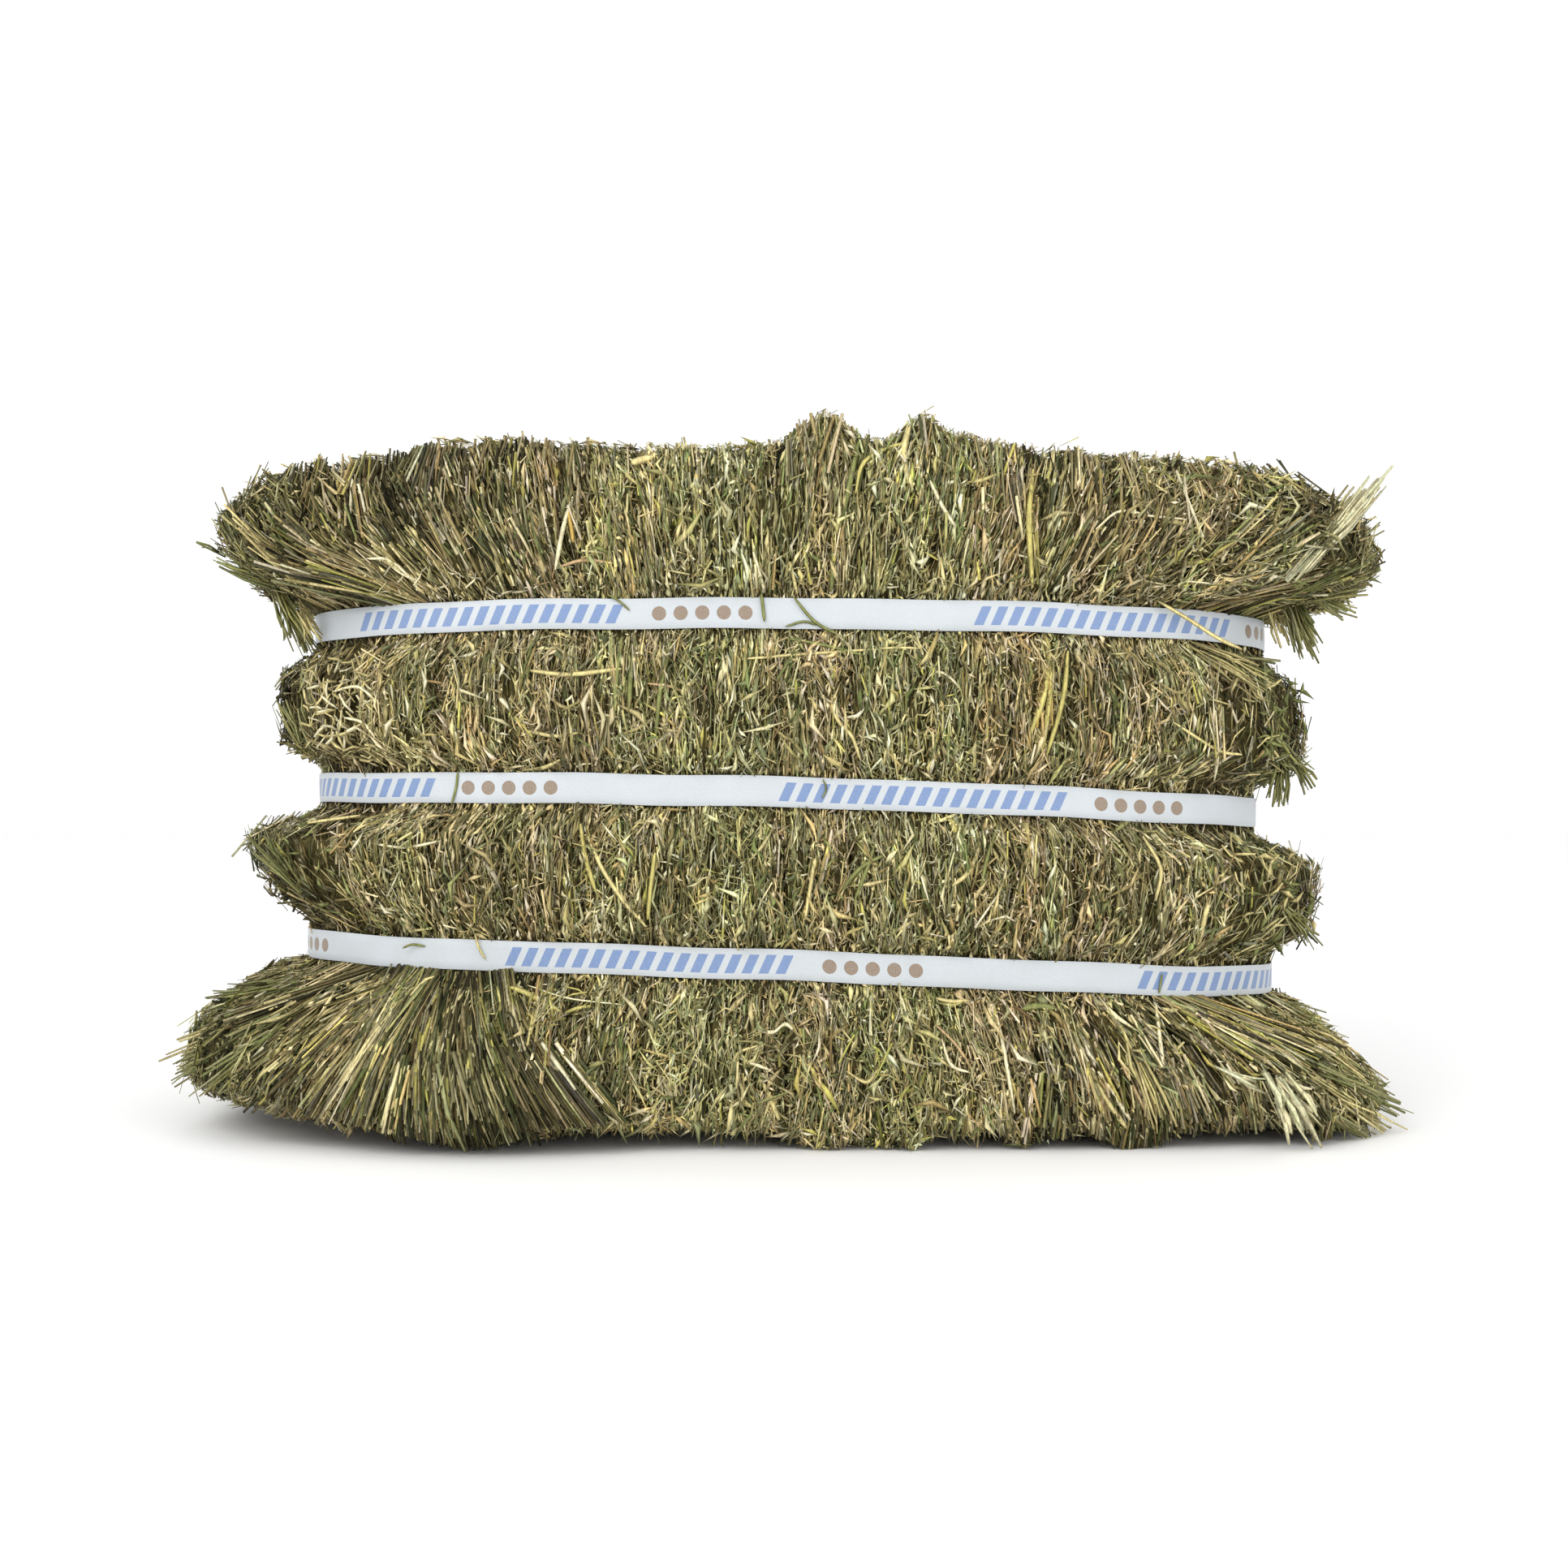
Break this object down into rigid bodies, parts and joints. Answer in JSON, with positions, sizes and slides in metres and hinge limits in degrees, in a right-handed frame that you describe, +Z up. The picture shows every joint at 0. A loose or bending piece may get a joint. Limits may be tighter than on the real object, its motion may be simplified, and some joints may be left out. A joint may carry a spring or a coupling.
{
  "type": "square hay bale",
  "caption": "Compressed square bale of dry grass hay: pressed flakes side by side, bound by flat white plastic straps, with flared, ragged ends.",
  "frame": {"origin": "on the floor, under the middle of the bale's box", "axes": "+X along the bale, across its flakes, to the right seen from the front; +Y from the front to the back; +Z up, across the straps"},
  "size_m": [0.8054, 0.4058, 0.461],
  "materials": {
    "hay": "matte",
    "strap": "satin"
  },
  "bodies": {
    "root": {"flake_01": "hay", "flake_02": "hay", "flake_03": "hay", "flake_04": "hay", "flake_05": "hay", "flake_06": "hay", "flake_07": "hay", "flake_08": "hay", "flake_09": "hay", "flake_10": "hay", "flake_11": "hay", "flake_12": "hay", "strap_top": "strap", "strap_middle": "strap", "strap_bottom": "strap"}
  },
  "joints": []
}
